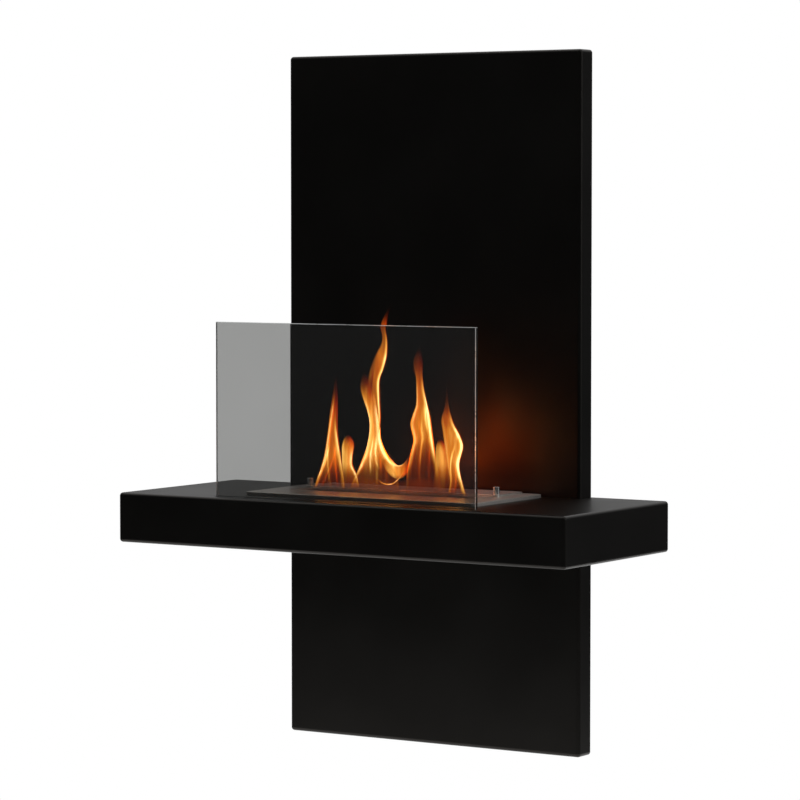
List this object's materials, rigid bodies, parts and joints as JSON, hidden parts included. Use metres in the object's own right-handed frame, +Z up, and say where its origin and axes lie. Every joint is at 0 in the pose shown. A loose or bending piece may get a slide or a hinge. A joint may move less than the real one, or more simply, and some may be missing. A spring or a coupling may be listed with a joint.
{
  "type": "wall-mounted fireplace",
  "caption": "Wall-hung ethanol fireplace: tall flat back panel, shelf with a drop-in burner under a sliding lid, and an upright tinted glass screen.",
  "frame": {"origin": "centre of the wall rail's four screw holes, on the wall plane", "axes": "+Z up along the panel's height, +Y into the wall, X along the shelf"},
  "size_m": [0.6, 0.235, 0.81],
  "materials": {
    "black_coat": "satin black powder coat",
    "zinc_steel": "zinc-plated sheet",
    "fastener_steel": "zinc-plated",
    "black_screws": "black",
    "tinted_glass": "grey tinted, clear polished",
    "seal_rubber": "matte",
    "tank_steel": "plain rolled stainless",
    "brushed_stainless": "brushed stainless",
    "polished_steel": "polished",
    "wool": "fibrous"
  },
  "bodies": {
    "wall_mount": {"wall_rail": "zinc_steel"},
    "frame": {"back_panel": "black_coat", "hanger_bar": "zinc_steel", "backing_plate": "zinc_steel", "shelf_bolts": "fastener_steel", "shelf_washers": "fastener_steel", "shelf_nuts": "fastener_steel", "shelf_shell": "black_coat", "shelf_rib_left": "zinc_steel", "shelf_rib_right": "zinc_steel", "shelf_bottom_cover": "black_coat", "cover_screws": "black_screws", "cover_nuts": "fastener_steel", "glass_channel": "zinc_steel", "glass_seal": "seal_rubber", "overflow_tray": "tank_steel"},
    "glass": {"glass_pane": "tinted_glass"},
    "burner": {"burner_plate": "brushed_stainless", "fuel_tank": "tank_steel", "ceramic_wool": "wool"},
    "lid": {"sliding_lid": "brushed_stainless", "lid_knobs": "polished_steel", "guide_shoes": "fastener_steel"}
  },
  "joints": [
    {"name": "unhook", "type": "slide", "parent": "wall_mount", "child": "frame", "axis": [0, 0, 1], "range_m": [0, 0.014]},
    {"name": "glass_lift", "type": "slide", "parent": "frame", "child": "glass", "axis": [0, 0, 1], "range_m": [0, 0.03]},
    {"name": "burner_lift", "type": "slide", "parent": "frame", "child": "burner", "axis": [0, 0, 1], "range_m": [0, 0.06]},
    {"name": "lid_slide", "type": "slide", "parent": "burner", "child": "lid", "axis": [0, -1, 0], "range_m": [0, 0.04]}
  ]
}
